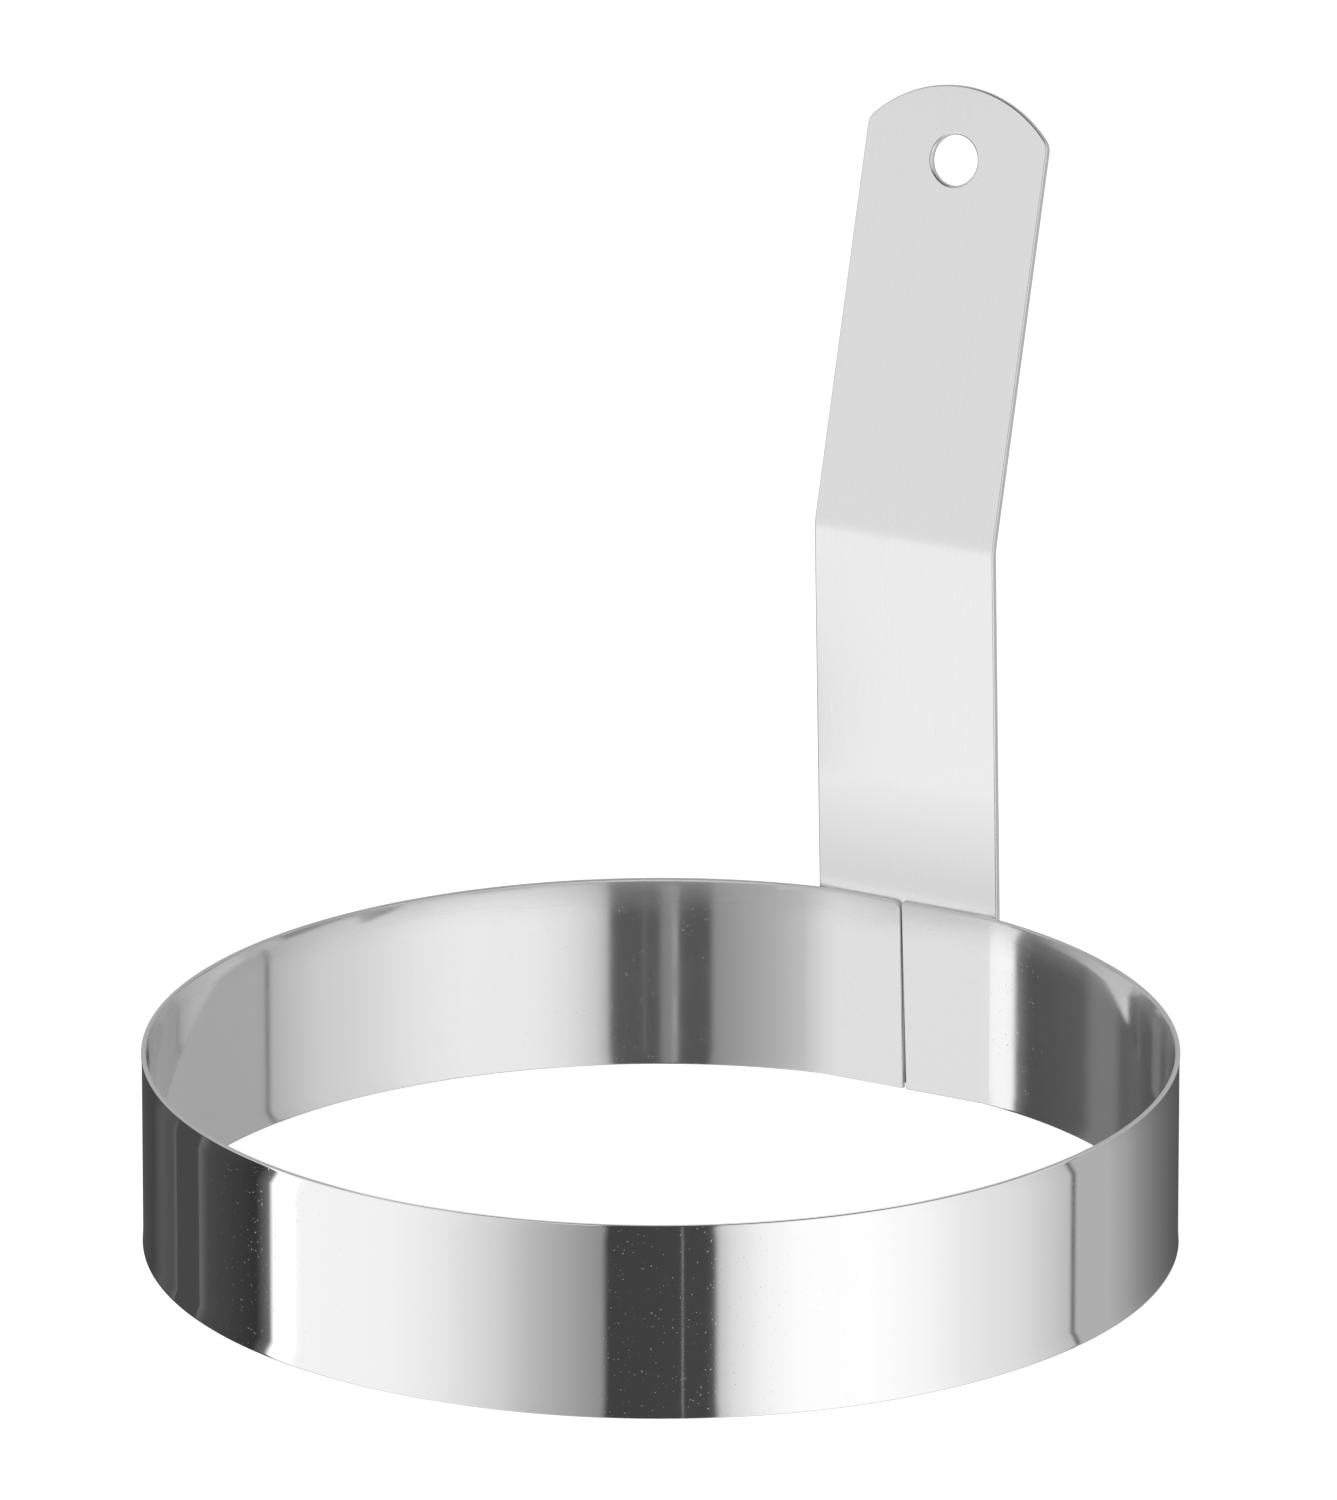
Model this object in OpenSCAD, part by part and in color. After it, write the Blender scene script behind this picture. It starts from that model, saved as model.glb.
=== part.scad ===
// Egg ring with an upright strip handle.
// A narrow band is bent round until its two ends meet in a butt seam. The handle is
// one flat strip, spot welded to the outside of the band across that seam.
// The ring stands on z = 0, its axis is the Z axis, and the handle stands at +Y.

/* [Ring band] */
// Outer diameter of the ring
ring_d = 100; // [90:1:120]
// Height of the band
band_h = 19.4; // [18:0.1:30]
// Thickness of the band's sheet
band_t = 0.5; // [0.4:0.1:0.8]
// Width of the flat on the band that the handle's foot lies against
seat_w = 18; // [15:0.5:20]

/* [Seam] */
// Gap between the band's two ends at the top rim
seam_top = 0.1; // [0.05:0.05:0.4]
// Gap between the band's two ends at the bottom rim
seam_bottom = 0.3; // [0.1:0.05:0.6]
// Sideways place of the seam at the top rim, from the middle of the handle
seam_top_x = -0.5; // [-1.5:0.1:1.5]
// Sideways place of the seam at the bottom rim, from the middle of the handle
seam_bottom_x = 0; // [-1.5:0.1:1.5]
// Corner radius at the top of the band's left end
end_corner_r = 1; // [0.5:0.1:1.2]

/* [Handle strip] */
// Width of the handle strip
strip_w = 19.9; // [18:0.1:22]
// Thickness of the handle strip
strip_t = 0.8; // [0.7:0.1:1.2]
// Height of the foot's lower edge above the ring's bottom rim
foot_z = 0.4; // [0.2:0.1:2.4]
// Corner radius of the foot
foot_corner_r = 2; // [1:0.1:3]

/* [Handle bends] */
// Inward lean of the lower leg from upright, in degrees
lower_lean = 1.8; // [0.5:0.1:4]
// Outward lean of the upper leg from upright, in degrees
upper_lean = 15.5; // [8:0.5:25]
// Length along the lower leg from the top rim to the middle of the main bend
lower_leg = 37.7; // [30:0.1:50]
// Length along the upper leg from the middle of the main bend to the tip
upper_leg = 44.5; // [36:0.1:60]
// Radius of the slight bend just above the top rim, on the face towards the ring
rim_bend_r = 12; // [8:1:16]
// Radius of the main bend, on the face away from the ring
main_bend_r = 6; // [4:0.5:10]

/* [Tip and hanging hole] */
// Radius of the rounded tip
tip_r = 13.3; // [12:0.1:16]
// Radius of the corners between the tip and the sides
tip_corner_r = 1.8; // [1:0.1:3]
// Diameter of the hanging hole
hole_d = 5; // [4:0.5:7]
// Distance from the tip to the middle of the hanging hole
hole_from_tip = 7.3; // [6:0.1:10]

/* [Spot welds] */
// Diameter of each weld nugget where the two sheets meet
nugget_d = 3.4; // [2.5:0.1:3.8]
// Depth of a nugget into the band
nugget_in_band = 0.3; // [0.2:0.05:0.35]
// Depth of a nugget into the handle
nugget_in_strip = 0.45; // [0.3:0.05:0.5]
// Depth of the round mark that each weld leaves on the back of the foot
mark_depth = 0.08; // [0.04:0.02:0.12]
// Sideways distance between the two columns of welds
weld_pitch_x = 10; // [9:0.5:11]
// Height of the lower row of welds above the ring's bottom rim
weld_low_z = 5.6; // [4.8:0.1:7]
// Height of the upper row of welds above the ring's bottom rim
weld_high_z = 13.8; // [11:0.1:14]

/* [Hidden] */
$fn = 96;
ring_r = ring_d / 2;
// Outer face of the flat, which the handle's foot lies against
seat_y = sqrt(pow(ring_r, 2) - pow(seat_w / 2, 2));
// The slight bend starts this far above the top rim
rim_to_bend = 0.4;
foot_top_z = band_h + rim_to_bend;
main_turn = lower_lean + upper_lean;
// Half the length of the main bend along the face towards the ring
main_bend_half = (main_bend_r + strip_t) * tan(main_turn / 2);
// Straight lengths left over between the bends
lower_straight = lower_leg - rim_to_bend - main_bend_half;
upper_straight = upper_leg - main_bend_half;
// Steps in which each bend turns
rim_bend_steps = 2;
main_bend_steps = 12;
// How far a cut runs past the face that it cuts
past = 1;
// The arcs of the tip's corners and of the band's rounded corner run this far past the
// edges beside them, and so meet them at a clear edge
corner_over = 0.02;
// Radius of the flat at each end of a weld nugget
nugget_flat_r = 0.5;

// The strip's side view, as places [y, z] and leans on its face towards the ring.
// A positive lean is inward, over the ring.
function along(place, lean, length) = place + length * [-sin(lean), cos(lean)];
function outward(place, lean, distance) = place + distance * [cos(lean), sin(lean)];
// The place on a bend of radius r at which the strip has this lean. The bend's axis lies
// on the ring's side of the strip where side is 1, and on the far side where it is -1.
function bend_place(axis, lean, r, side) = outward(axis, lean, side * r);

foot_top = [seat_y, foot_top_z];
rim_axis = outward(foot_top, 0, -rim_bend_r);
lower_start = bend_place(rim_axis, lower_lean, rim_bend_r, 1);
lower_end = along(lower_start, lower_lean, lower_straight);
main_axis = outward(lower_end, lower_lean, strip_t + main_bend_r);
upper_start = bend_place(main_axis, -upper_lean, main_bend_r + strip_t, -1);
upper_end = along(upper_start, -upper_lean, upper_straight);

// Leans at the steps of the two bends
rim_leans = [for (i = [0:rim_bend_steps]) lower_lean * i / rim_bend_steps];
main_leans = [for (i = [0:main_bend_steps]) lower_lean - main_turn * i / main_bend_steps];
// Face of the strip towards the ring, from the foot up to the tip
near_face = concat(
    [[seat_y, foot_z]],
    [for (lean = rim_leans) bend_place(rim_axis, lean, rim_bend_r, 1)],
    [for (lean = main_leans) bend_place(main_axis, lean, main_bend_r + strip_t, -1)],
    [upper_end]);
// Face away from the ring, from the tip down to the foot
far_face = concat(
    [outward(upper_end, -upper_lean, strip_t)],
    [for (i = [main_bend_steps:-1:0]) bend_place(main_axis, main_leans[i], main_bend_r, -1)],
    [for (i = [rim_bend_steps:-1:0])
        bend_place(rim_axis, rim_leans[i], rim_bend_r + strip_t, 1)],
    [[seat_y + strip_t, foot_z]]);

// A disc with a flat across its +Y side
module flatted_disc(r, flat_y) {
    intersection() {
        circle(r = r);
        translate([-2 * r, flat_y - 4 * r])
            square(4 * r);
    }
}

// The wedge of air between the band's ends, with the left end's rounded top corner
module seam_gap() {
    left = seam_top_x - seam_top / 2;
    right = seam_top_x + seam_top / 2;
    // Sideways run of each end's edge per mm of height
    left_slope = (left - (seam_bottom_x - seam_bottom / 2)) / band_h;
    right_slope = (right - (seam_bottom_x + seam_bottom / 2)) / band_h;
    corner_z = band_h - end_corner_r;
    // The left end's edge at that height
    edge_x = left - left_slope * end_corner_r;
    corner_x = edge_x - end_corner_r + corner_over;
    translate([0, seat_y + past, 0])
        rotate([90, 0, 0])
            linear_extrude(height = band_t + 2 * past) {
                polygon([[left + left_slope * past, band_h + past],
                         [right + right_slope * past, band_h + past],
                         [seam_bottom_x + seam_bottom / 2 - right_slope * past, -past],
                         [seam_bottom_x - seam_bottom / 2 - left_slope * past, -past]]);
                difference() {
                    polygon([[corner_x, corner_z],
                             [edge_x + seam_top / 2, corner_z],
                             [left + left_slope * past + seam_top / 2, band_h + past],
                             [corner_x, band_h + past]]);
                    translate([corner_x, corner_z])
                        circle(r = end_corner_r);
                }
            }
}

// Centre distance and radius of the arc that rises by depth from the nugget's edge, where
// the two sheets meet, to the flat at its end
function nugget_arc_y(depth) =
    (pow(nugget_d / 2, 2) - pow(nugget_flat_r, 2) - pow(depth, 2)) / (2 * depth);
function nugget_arc_r(depth) = norm([nugget_d / 2, nugget_arc_y(depth)]);

// One weld nugget: the lens of metal where two sheets fused, flat across Y
module nugget() {
    rotate([-90, 0, 0])
        rotate_extrude()
            intersection() {
                translate([0, -nugget_arc_y(nugget_in_strip)])
                    circle(r = nugget_arc_r(nugget_in_strip));
                translate([0, nugget_arc_y(nugget_in_band)])
                    circle(r = nugget_arc_r(nugget_in_band));
                translate([0, -nugget_in_band])
                    square([nugget_d, nugget_in_band + nugget_in_strip]);
            }
}

// Puts its children at the four welds, with y = 0 where the two sheets meet
module at_welds() {
    for (x = [-weld_pitch_x / 2, weld_pitch_x / 2])
        for (z = [weld_low_z, weld_high_z])
            translate([x, seat_y, z])
                children();
}

// The shallow round mark of the welding tip on the back of the foot
module weld_mark() {
    a = nugget_d / 2;
    r = (a * a + mark_depth * mark_depth) / (2 * mark_depth);
    translate([0, strip_t + r - mark_depth, 0])
        sphere(r = r);
}

// The band: one strip with a flat where the handle sits, open at its seam
module ring_band() {
    color([0.80, 0.81, 0.82])
        difference() {
            linear_extrude(height = band_h)
                difference() {
                    flatted_disc(ring_r, seat_y);
                    flatted_disc(ring_r - band_t, seat_y - band_t);
                }
            seam_gap();
            at_welds() nugget();
        }
}

// What is cut from the foot's square end to round its two lower corners
module foot_corners() {
    side = strip_w / 2 - foot_corner_r;
    translate([0, seat_y - past, foot_z])
        rotate([90, 0, 180])
            linear_extrude(height = strip_t + 2 * past)
                for (flip = [0, 1])
                    mirror([flip, 0])
                        difference() {
                            translate([side, -past])
                                square([foot_corner_r + past, foot_corner_r + past]);
                            translate([side, foot_corner_r])
                                circle(r = foot_corner_r);
                        }
}

// Everything beyond the domed tip and its corners, and the hanging hole, seen square to
// the upper leg with its tip at [0, 0]
module tip_cuts() {
    inset = tip_corner_r - corner_over;
    corner_x = strip_w / 2 - inset;
    corner_y = sqrt(pow(tip_r - inset, 2) - pow(corner_x, 2)) - tip_r;
    reach = tip_corner_r + past;
    // Direction from the dome's centre through the corner's centre
    turn = atan2(corner_x, corner_y + tip_r);
    difference() {
        translate([-strip_w / 2 - past, corner_y])
            square([strip_w + 2 * past, past - corner_y]);
        translate([0, -tip_r])
            circle(r = tip_r);
    }
    for (flip = [0, 1])
        mirror([flip, 0])
            translate([corner_x, corner_y])
                difference() {
                    polygon([[0, 0], [reach, 0], [reach, reach],
                             reach * [sin(turn), cos(turn)]]);
                    circle(r = tip_corner_r);
                }
    translate([0, -hole_from_tip])
        circle(d = hole_d);
}

// The handle: foot, slight inward bend, lower leg, main outward bend, upper leg
module handle() {
    color([0.86, 0.87, 0.88])
        difference() {
            translate([-strip_w / 2, 0, 0])
                rotate([90, 0, 90])
                    linear_extrude(height = strip_w)
                        polygon(concat(near_face, far_face));
            foot_corners();
            translate([0, upper_end[0], upper_end[1]])
                rotate([-upper_lean, 0, 0])
                    translate([0, strip_t + past, 0])
                        rotate([90, 0, 0])
                            linear_extrude(height = strip_t + 2 * past)
                                tip_cuts();
            at_welds() nugget();
            at_welds() weld_mark();
        }
}

// The four nuggets that join the handle to the band, two on each side of the seam
module spot_welds() {
    color([0.62, 0.61, 0.60])
        at_welds() nugget();
}

ring_band();
handle();
spot_welds();
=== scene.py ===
"""Egg ring: a polished steel band with a satin strip handle, on a plain pale floor.

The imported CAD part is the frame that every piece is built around. Sizes are in metres and
angles in degrees. The ring stands on z = 0 round the Z axis, with its handle at +Y.
"""

import logging
import math
from dataclasses import dataclass
from enum import Enum

import bmesh
import bpy
from mathutils import Matrix, Vector


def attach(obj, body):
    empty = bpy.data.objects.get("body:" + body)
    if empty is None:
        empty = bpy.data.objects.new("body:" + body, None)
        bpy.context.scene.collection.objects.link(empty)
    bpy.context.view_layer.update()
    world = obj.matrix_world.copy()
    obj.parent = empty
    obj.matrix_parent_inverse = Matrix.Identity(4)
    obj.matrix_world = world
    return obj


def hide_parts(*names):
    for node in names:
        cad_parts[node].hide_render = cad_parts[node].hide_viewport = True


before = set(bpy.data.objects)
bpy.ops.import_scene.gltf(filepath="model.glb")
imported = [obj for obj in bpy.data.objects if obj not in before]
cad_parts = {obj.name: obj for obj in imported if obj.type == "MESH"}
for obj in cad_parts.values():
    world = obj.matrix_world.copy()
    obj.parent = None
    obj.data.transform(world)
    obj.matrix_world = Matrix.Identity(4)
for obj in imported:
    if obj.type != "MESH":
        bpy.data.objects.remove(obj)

LOG = logging.getLogger("egg_ring")
PHOTO_HEIGHT = 1500
MM = 0.001
# Distances within which two places count as one: at a strip's ends, in a finished mesh,
# and where a level cut passes a vertex
END_GAP = 1e-6
MESH_GAP = 1e-7
CUT_GAP = 1e-8


def mm(*values: float) -> tuple[float, ...]:
    """Turns millimetres into metres."""
    return tuple(value * MM for value in values)


class Slot(Enum):
    """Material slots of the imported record."""

    BAND = "polished_band"
    STRIP = "satin_strip"
    WELD = "weld_metal"


class Graph:
    """Short ways to add and join the nodes of one material or world."""

    def __init__(self, tree: bpy.types.NodeTree) -> None:
        """Starts on an empty node tree.

        Args:
            tree: The tree that the nodes go into.
        """
        self.tree = tree
        tree.nodes.clear()

    def add(self, kind: str, settings: dict | None = None, **inputs: object) -> bpy.types.Node:
        """Adds a node.

        Args:
            kind: Blender's name of the node's type.
            settings: The node's own properties, by name.
            inputs: Socket values or links, by socket name with spaces as underscores.

        Returns:
            The new node.
        """
        node = self.tree.nodes.new(kind)
        for name, value in (settings or {}).items():
            setattr(node, name, value)
        for name, value in inputs.items():
            self.plug(value, node.inputs[name.replace("_", " ")])
        return node

    def plug(self, value: object, socket: bpy.types.NodeSocket) -> None:
        """Links an output to a socket, or sets the socket's own value.

        Args:
            value: The output, or the value.
            socket: The socket that takes it.
        """
        if isinstance(value, bpy.types.NodeSocket):
            self.tree.links.new(value, socket)
        else:
            socket.default_value = value

    def math(self, operation: str, *values: object) -> bpy.types.NodeSocket:
        """Adds a Math node.

        Args:
            operation: Blender's name of the operation.
            values: Its one to three inputs, as numbers or links.

        Returns:
            The node's output.
        """
        node = self.add("ShaderNodeMath", {"operation": operation})
        for value, socket in zip(values, node.inputs):
            self.plug(value, socket)
        return node.outputs[0]

    def ease(self, value: object, low: float, high: float, start: float = 0.0,
             end: float = 1.0) -> bpy.types.NodeSocket:
        """Runs smoothly from start to end while value goes from low to high.

        Args:
            value: The link that is read.
            low: The value at which the result leaves start.
            high: The value at which it reaches end.
            start: Result below low.
            end: Result above high.

        Returns:
            The eased output.
        """
        node = self.add("ShaderNodeMapRange", {"interpolation_type": "SMOOTHSTEP"},
                        From_Min=low, From_Max=high, To_Min=start, To_Max=end)
        self.plug(value, node.inputs["Value"])
        return node.outputs["Result"]

    def stretched_noise(self, where: bpy.types.NodeSocket, per_metre: tuple[float, float, float],
                        detail: float = 2.0, rough: float = 0.5) -> bpy.types.NodeSocket:
        """Adds noise with its own number of grains per metre along X, Y and Z.

        Args:
            where: The coordinates that the pattern lies on.
            per_metre: Grains per metre along each axis.
            detail: Levels of finer grain.
            rough: Strength of the finer levels.

        Returns:
            The noise, from 0 to 1.
        """
        placed = self.add("ShaderNodeMapping", Vector=where, Scale=per_metre)
        noise = self.add("ShaderNodeTexNoise", Vector=placed.outputs[0], Scale=1.0,
                         Detail=detail, Roughness=rough)
        return noise.outputs["Fac"]

    def fine_noise(self, where: bpy.types.NodeSocket, size: float,
                   detail: float) -> bpy.types.NodeSocket:
        """Adds even noise whose grains have one size in metres, and returns its output."""
        return self.stretched_noise(where, (1 / size,) * 3, detail)

    def vary(self, noise: bpy.types.NodeSocket, reach: float, base: object) -> bpy.types.NodeSocket:
        """Lets a value vary with noise, by half of reach up and down.

        Args:
            noise: The noise, from 0 to 1.
            reach: How far apart the lowest and highest results lie.
            base: The value, as a number or a link.

        Returns:
            The varied value.
        """
        return self.math("MULTIPLY_ADD", self.math("SUBTRACT", noise, 0.5), reach, base)

    def blend(self, share: object, first: object, second: object) -> bpy.types.NodeSocket:
        """Mixes two colours.

        Args:
            share: Share of the second colour, from 0 to 1.
            first: Colour with its alpha, or a link.
            second: Colour with its alpha, or a link.

        Returns:
            The mixed colour.
        """
        node = self.add("ShaderNodeMix", {"data_type": "RGBA"})
        self.plug(share, node.inputs["Factor"])
        self.plug(first, node.inputs[6])
        self.plug(second, node.inputs[7])
        return node.outputs[2]


def new_material(name: str) -> tuple[bpy.types.Material, Graph]:
    """Starts a material.

    Args:
        name: Its name.

    Returns:
        The material and its empty nodes.
    """
    made = bpy.data.materials.new(name)
    made.use_nodes = True
    return made, Graph(made.node_tree)


def new_object(mesh: bmesh.types.BMesh, name: str) -> bpy.types.Object:
    """Turns a bmesh into an object of the scene.

    Args:
        mesh: The shape, which is freed here.
        name: The object's name.

    Returns:
        The object.
    """
    data = bpy.data.meshes.new(name)
    mesh.to_mesh(data)
    mesh.free()
    made = bpy.data.objects.new(name, data)
    bpy.context.scene.collection.objects.link(made)
    return made


def only(parts: list, kind: type) -> list:
    """Keeps one kind, vertices, edges or faces, of what a bmesh operator gives."""
    return [part for part in parts if isinstance(part, kind)]


def cut_level(mesh: bmesh.types.BMesh, z: float) -> None:
    """Cuts new edges all round a mesh at one height."""
    everything = list(mesh.verts) + list(mesh.edges) + list(mesh.faces)
    bmesh.ops.bisect_plane(mesh, geom=everything, dist=CUT_GAP, plane_co=(0, 0, z),
                           plane_no=(0, 0, 1))


@dataclass(frozen=True)
class PolishedSteel:
    """Bright band steel: a mirror outside, duller inside and most so at its top edge.

    The depths of its grain and pits are shares of bump_depth, and a pit deepens while its
    noise runs through pit_range.
    """

    outer_base: tuple[float, float, float] = (0.80, 0.80, 0.80)
    inner_base: tuple[float, float, float] = (0.73, 0.73, 0.73)
    outer_roughness: float = 0.052
    inner_roughness: float = 0.075
    inner_metallic: float = 0.85
    lines_per_metre: float = 5200.0
    lines_across: float = 28.0
    line_share: float = 0.25
    haze_per_metre: tuple[float, float, float] = (95.0, 95.0, 260.0)
    haze_roughness: float = 0.05
    sand_size: float = 0.15 * MM
    pit_size: float = 0.2 * MM
    pit_range: tuple[float, float] = (0.79, 0.85)
    pit_roughness: float = 0.14
    pit_depth: float = 2.5
    bump_depth: float = 0.0016 * MM
    outer_grain: float = 0.12
    inner_grain: float = 0.045
    dull_height: float = 4.5 * MM
    dull_wave: float = 2.25 * MM
    dull_share: float = 0.45
    dull_roughness: float = 0.03

    def material(self, mid_r: float, top_z: float) -> bpy.types.Material:
        """Builds the finish.

        Args:
            mid_r: Radius half way through the band's sheet, which parts inside from outside.
            top_z: Height of the top rim, towards which the inside gets dull.

        Returns:
            The material.
        """
        made, graph = new_material("polished_steel")
        where = graph.add("ShaderNodeTexCoord").outputs["Object"]
        split = graph.add("ShaderNodeSeparateXYZ", Vector=where)
        flat = graph.add("ShaderNodeCombineXYZ", X=split.outputs["X"], Y=split.outputs["Y"])
        radius = graph.add("ShaderNodeVectorMath", {"operation": "LENGTH"})
        graph.plug(flat.outputs[0], radius.inputs[0])
        inside = graph.math("LESS_THAN", radius.outputs["Value"], mid_r)
        haze = graph.stretched_noise(where, self.haze_per_metre, detail=3.0)
        pits = graph.ease(graph.fine_noise(where, self.pit_size, detail=0.0), *self.pit_range)
        dull = graph.math("MULTIPLY", inside, self.near_top(graph, split.outputs["Z"], haze, top_z))
        rough = graph.math("MULTIPLY_ADD", inside, self.inner_roughness - self.outer_roughness,
                           self.outer_roughness)
        rough = graph.vary(haze, self.haze_roughness, rough)
        rough = graph.math("MULTIPLY_ADD", pits, self.pit_roughness, rough)
        rough = graph.math("MULTIPLY_ADD", dull, self.dull_roughness, rough)
        metallic = graph.math("MULTIPLY_ADD", inside, self.inner_metallic - 1.0, 1.0)
        metallic = graph.math("MULTIPLY_ADD", dull, -self.dull_share, metallic)
        colour = graph.blend(inside, (*self.outer_base, 1.0), (*self.inner_base, 1.0))
        height = graph.math("MULTIPLY_ADD", pits, -self.pit_depth, self.grain(graph, where, inside))
        bump = graph.add("ShaderNodeBump", Height=height, Strength=1.0, Distance=self.bump_depth)
        shader = graph.add("ShaderNodeBsdfPrincipled", Base_Color=colour, Metallic=metallic,
                           Roughness=rough, Normal=bump.outputs[0])
        graph.add("ShaderNodeOutputMaterial", Surface=shader.outputs[0])
        return made

    def near_top(self, graph: Graph, z: bpy.types.NodeSocket, haze: bpy.types.NodeSocket,
                 top_z: float) -> bpy.types.NodeSocket:
        """Reads how near a place is to the top rim, with an uneven lower edge.

        Args:
            graph: The material's nodes.
            z: Height of the place.
            haze: Noise that makes the edge uneven.
            top_z: Height of the top rim.

        Returns:
            1 at the rim, falling faster at first, to 0 at dull_height below it.
        """
        above = graph.math("SUBTRACT", graph.vary(haze, self.dull_wave, z), top_z - self.dull_height)
        share = graph.math("DIVIDE", above, self.dull_height)
        share = graph.math("MINIMUM", graph.math("MAXIMUM", share, 0.0), 1.0)
        return graph.math("MULTIPLY", share, share)

    def grain(self, graph: Graph, where: bpy.types.NodeSocket,
              inside: bpy.types.NodeSocket) -> bpy.types.NodeSocket:
        """Builds the height of the fine lines and sand, deeper outside than inside.

        Args:
            graph: The material's nodes.
            where: Object coordinates.
            inside: 1 on the inner face and 0 on the outer one.

        Returns:
            The height, as a share of bump_depth.
        """
        across = (self.lines_across, self.lines_across, self.lines_per_metre)
        lines = graph.stretched_noise(where, across, detail=3.0, rough=0.65)
        sand = graph.fine_noise(where, self.sand_size, detail=1.0)
        both = graph.math("MULTIPLY_ADD", lines, self.line_share, sand)
        depth = graph.math("MULTIPLY_ADD", inside, self.inner_grain - self.outer_grain,
                           self.outer_grain)
        return graph.math("MULTIPLY", both, depth)


@dataclass(frozen=True)
class SatinSteel:
    """Strip steel with a fine grain along the strip, polished a little at its weld marks."""

    base: tuple[float, float, float] = (0.82, 0.82, 0.82)
    roughness: float = 0.26
    grain_per_metre: tuple[float, float, float] = (7000.0, 60.0, 60.0)
    grain_roughness: float = 0.10
    grain_strength: float = 0.5
    grain_depth: float = 0.0018 * MM
    cloud_per_metre: tuple[float, float, float] = (260.0, 60.0, 60.0)
    cloud_roughness: float = 0.05
    mark_tint: tuple[float, float, float] = (0.74, 0.70, 0.63)
    mark_polish: float = 0.12
    mark_edge: tuple[float, float] = (0.8, 1.35)

    def material(self, welds: "SpotWelds") -> bpy.types.Material:
        """Builds the finish.

        Args:
            welds: The welds whose marks show on the back of the foot.

        Returns:
            The material.
        """
        made, graph = new_material("satin_steel")
        where = graph.add("ShaderNodeTexCoord").outputs["Object"]
        grain = graph.stretched_noise(where, self.grain_per_metre, detail=3.0, rough=0.6)
        cloud = graph.stretched_noise(where, self.cloud_per_metre, detail=2.0)
        mark = self.weld_mark(graph, where, welds)
        rough = graph.vary(grain, self.grain_roughness, self.roughness)
        rough = graph.vary(cloud, self.cloud_roughness, rough)
        rough = graph.math("MULTIPLY_ADD", mark, -self.mark_polish, rough)
        colour = graph.blend(mark, (*self.base, 1.0), (*self.mark_tint, 1.0))
        bump = graph.add("ShaderNodeBump", Height=grain, Strength=self.grain_strength,
                         Distance=self.grain_depth)
        shader = graph.add("ShaderNodeBsdfPrincipled", Metallic=1.0, Base_Color=colour,
                           Roughness=rough, Normal=bump.outputs[0])
        graph.add("ShaderNodeOutputMaterial", Surface=shader.outputs[0])
        return made

    def weld_mark(self, graph: Graph, where: bpy.types.NodeSocket,
                  welds: "SpotWelds") -> bpy.types.NodeSocket:
        """Reads how far a place lies within a weld's heat mark.

        Args:
            graph: The material's nodes.
            where: Object coordinates.
            welds: The welds, which lie in two columns and two rows.

        Returns:
            1 in a mark and 0 beyond its soft edge.
        """
        split = graph.add("ShaderNodeSeparateXYZ", Vector=where)
        mid_z = (welds.low_z + welds.high_z) / 2
        across = graph.math("SUBTRACT", graph.math("ABSOLUTE", split.outputs["X"]), welds.pitch_x / 2)
        from_mid = graph.math("ABSOLUTE", graph.math("SUBTRACT", split.outputs["Z"], mid_z))
        up = graph.math("SUBTRACT", from_mid, (welds.high_z - welds.low_z) / 2)
        away = graph.math("SQRT", graph.math("ADD", graph.math("POWER", across, 2.0),
                                             graph.math("POWER", up, 2.0)))
        inner, outer = self.mark_edge
        return graph.ease(away, welds.mark_r * inner, welds.mark_r * outer, 1.0, 0.0)


@dataclass(frozen=True)
class FusedSteel:
    """Dull fused metal of the weld nuggets."""

    base: tuple[float, float, float] = (0.60, 0.59, 0.58)
    roughness: float = 0.5
    grain_size: float = 0.4 * MM
    grain_roughness: float = 0.3
    grain_strength: float = 0.4
    grain_depth: float = 0.02 * MM

    def material(self) -> bpy.types.Material:
        """Builds the finish and returns the material."""
        made, graph = new_material("fused_steel")
        where = graph.add("ShaderNodeTexCoord").outputs["Object"]
        grain = graph.fine_noise(where, self.grain_size, detail=2.0)
        rough = graph.vary(grain, self.grain_roughness, self.roughness)
        bump = graph.add("ShaderNodeBump", Height=grain, Strength=self.grain_strength,
                         Distance=self.grain_depth)
        shader = graph.add("ShaderNodeBsdfPrincipled", Base_Color=(*self.base, 1.0), Metallic=1.0,
                           Roughness=rough, Normal=bump.outputs[0])
        graph.add("ShaderNodeOutputMaterial", Surface=shader.outputs[0])
        return made


def finish_piece(mesh: bmesh.types.BMesh, name: str, node: str) -> bpy.types.Object:
    """Turns a finished bmesh into a piece that stands for a CAD node.

    Args:
        mesh: The shape, in place, which is freed here.
        name: The piece's name.
        node: The CAD node that it replaces.

    Returns:
        The piece, riding on the part's one body.
    """
    bmesh.ops.remove_doubles(mesh, verts=mesh.verts, dist=MESH_GAP)
    bmesh.ops.recalc_face_normals(mesh, faces=mesh.faces)
    for face in mesh.faces:
        face.smooth = True
    piece = new_object(mesh, name)
    even = piece.modifiers.new("even_light", "WEIGHTED_NORMAL")
    even.mode = "FACE_AREA"
    even.keep_sharp = True
    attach(piece, "root")
    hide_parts(node)
    return piece


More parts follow.
